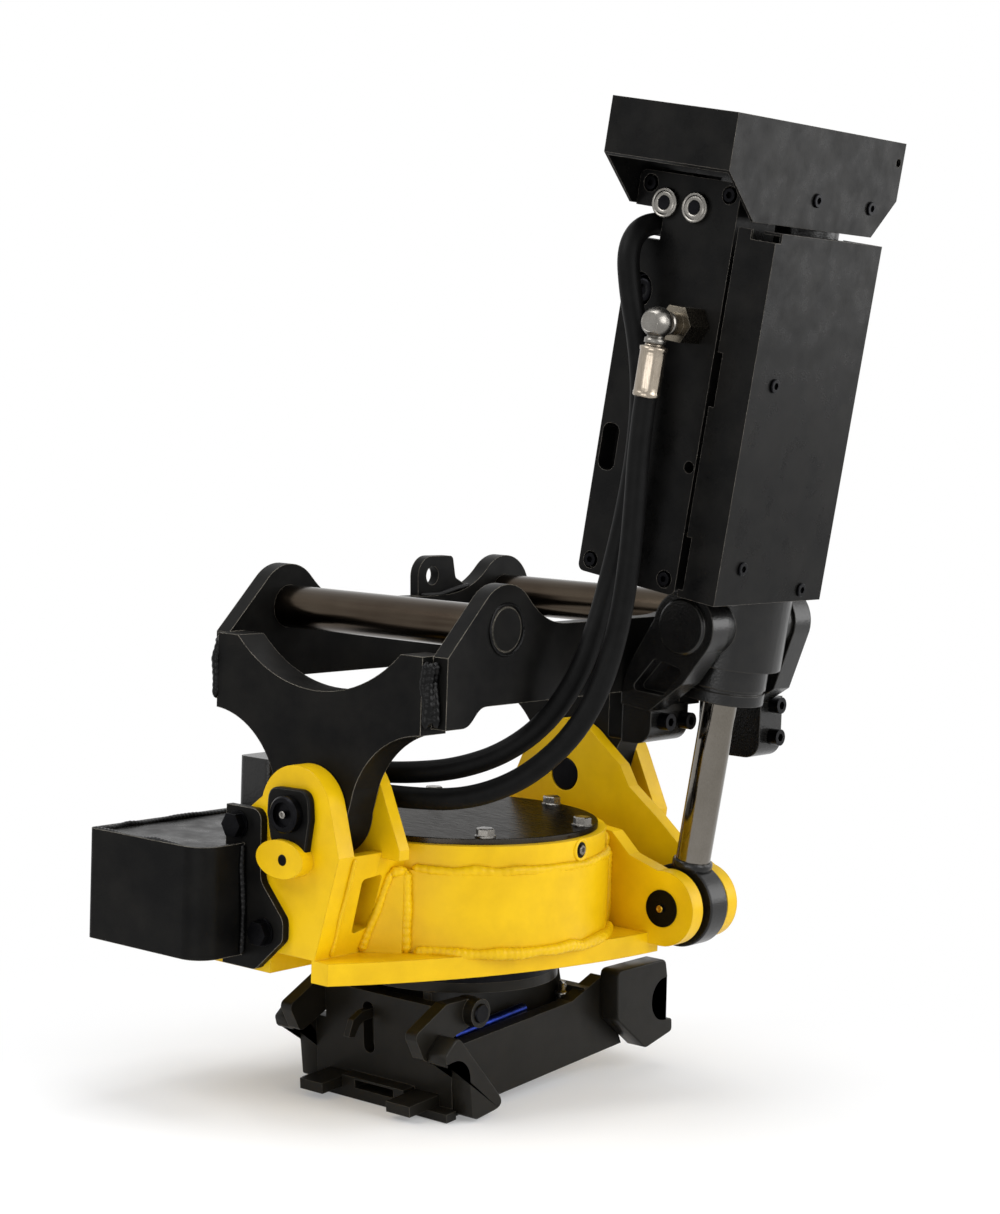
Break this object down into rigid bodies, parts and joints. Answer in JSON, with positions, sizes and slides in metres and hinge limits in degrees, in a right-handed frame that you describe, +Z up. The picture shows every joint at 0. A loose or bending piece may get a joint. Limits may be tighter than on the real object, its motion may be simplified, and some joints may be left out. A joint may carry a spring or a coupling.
{
  "type": "excavator tilt rotator",
  "caption": "Excavator tilt rotator: pin-on upper frame, housing tilted by one upright cylinder, worm-driven rotor and a quick hitch with hooks and a locking slide.",
  "frame": {"origin": "middle of the front coupler pin", "axes": "+X along the coupler pins towards the tilt cylinder, +Y to the rear coupler pin along the tilt axis, +Z up"},
  "size_m": [0.7973, 0.807, 1.3882],
  "materials": {
    "black_paint": "satin",
    "yellow_paint": "gloss",
    "black_cylinder": "satin",
    "machined_steel": "satin",
    "plated_steel": "satin",
    "chrome": "polished",
    "bronze": "satin",
    "cast_iron": "matt",
    "hose_rubber": "matt",
    "rubber": "matt"
  },
  "bodies": {
    "upper_frame": {"upper_frame": "black_paint", "coupler_pin_front": "machined_steel", "coupler_pin_rear": "machined_steel", "tilt_bush_front": "bronze", "tilt_bush_rear": "bronze", "trunnion_bracket_front": "black_paint", "trunnion_bracket_rear": "black_paint", "bracket_screws": "plated_steel", "trunnion_pin_front": "machined_steel", "trunnion_pin_rear": "machined_steel"},
    "housing": {"rotor_housing": "yellow_paint", "tilt_pin_front": "machined_steel", "tilt_pin_rear": "machined_steel", "tilt_lock_front": "black_paint", "tilt_lock_rear": "black_paint", "cover_disc": "machined_steel", "cover_bolts": "plated_steel", "worm_bearings": "cast_iron", "swing_motor": "cast_iron", "motor_guard": "black_paint", "guard_bolts": "plated_steel", "thrust_ring": "machined_steel", "lower_bearing": "bronze", "upper_bearing": "cast_iron", "rotor_seal": "rubber", "swivel_core": "machined_steel", "rod_pin": "machined_steel", "hose_inlets": "plated_steel"},
    "worm": {"worm_shaft": "machined_steel"},
    "rotor": {"worm_wheel": "bronze", "rotor_hub": "machined_steel", "hitch_frame": "black_paint", "front_hooks": "black_paint", "rear_hooks": "black_paint", "hitch_brackets": "black_paint", "lock_cylinder": "plated_steel"},
    "lock": {"locking_slide": "black_paint"},
    "lever": {"lock_lever": "black_paint"},
    "cylinder": {"cylinder_barrel": "black_cylinder", "cylinder_head": "black_cylinder", "cylinder_gland": "black_cylinder", "rod_wiper": "rubber", "valve_plate": "black_paint", "valve_plate_screws": "plated_steel", "valve_block": "black_paint", "port_plugs": "plated_steel", "hose_adapter": "plated_steel", "hose_elbow": "plated_steel", "hose_ferrule": "plated_steel", "hose_front": "hose_rubber", "hose_rear": "hose_rubber", "cover_box": "black_paint", "hood": "black_paint", "cover_screws": "plated_steel"},
    "rod": {"piston_rod": "chrome", "piston": "cast_iron", "rod_eye": "black_cylinder"}
  },
  "joints": [
    {"name": "tilt", "type": "hinge", "parent": "upper_frame", "child": "housing", "pos_m": [0, 0.165, -0.255], "axis": [0, 1, 0], "range_deg": [-40, 40], "deforming": ["hose_front", "hose_rear"]},
    {"name": "rotate", "type": "hinge", "parent": "housing", "child": "rotor", "pos_m": [0, 0.165, -0.48], "axis": [0, 0, 1], "continuous": true},
    {"name": "worm_spin", "type": "hinge", "parent": "housing", "child": "worm", "pos_m": [-0.18, 0.165, -0.375], "axis": [0, 1, 0], "continuous": true},
    {"name": "lock_slide", "type": "slide", "parent": "rotor", "child": "lock", "axis": [0, 0.9962, 0.0872], "range_m": [0, 0.06]},
    {"name": "lever_slide", "type": "slide", "parent": "rotor", "child": "lever", "axis": [0, -0.0872, 0.9962], "range_m": [-0.03, 0]},
    {"name": "cylinder_swing", "type": "hinge", "parent": "upper_frame", "child": "cylinder", "pos_m": [0.314, 0.38, 0], "axis": [0, 1, 0], "range_deg": [-11.8, 11.8]},
    {"name": "rod_stroke", "type": "slide", "parent": "cylinder", "child": "rod", "axis": [-0.1519, 0, -0.9884], "range_m": [-0.192, 0.192]}
  ],
  "couplings": [
    {"joint": "worm_spin", "follows": "rotate", "ratio": 60},
    {"joint": "lever_slide", "follows": "lock_slide", "ratio": -0.5},
    {"joint": "cylinder_swing", "follows": "tilt", "ratio": 0.29},
    {"joint": "rod_stroke", "follows": "tilt", "m_per_rad": 0.2725}
  ]
}
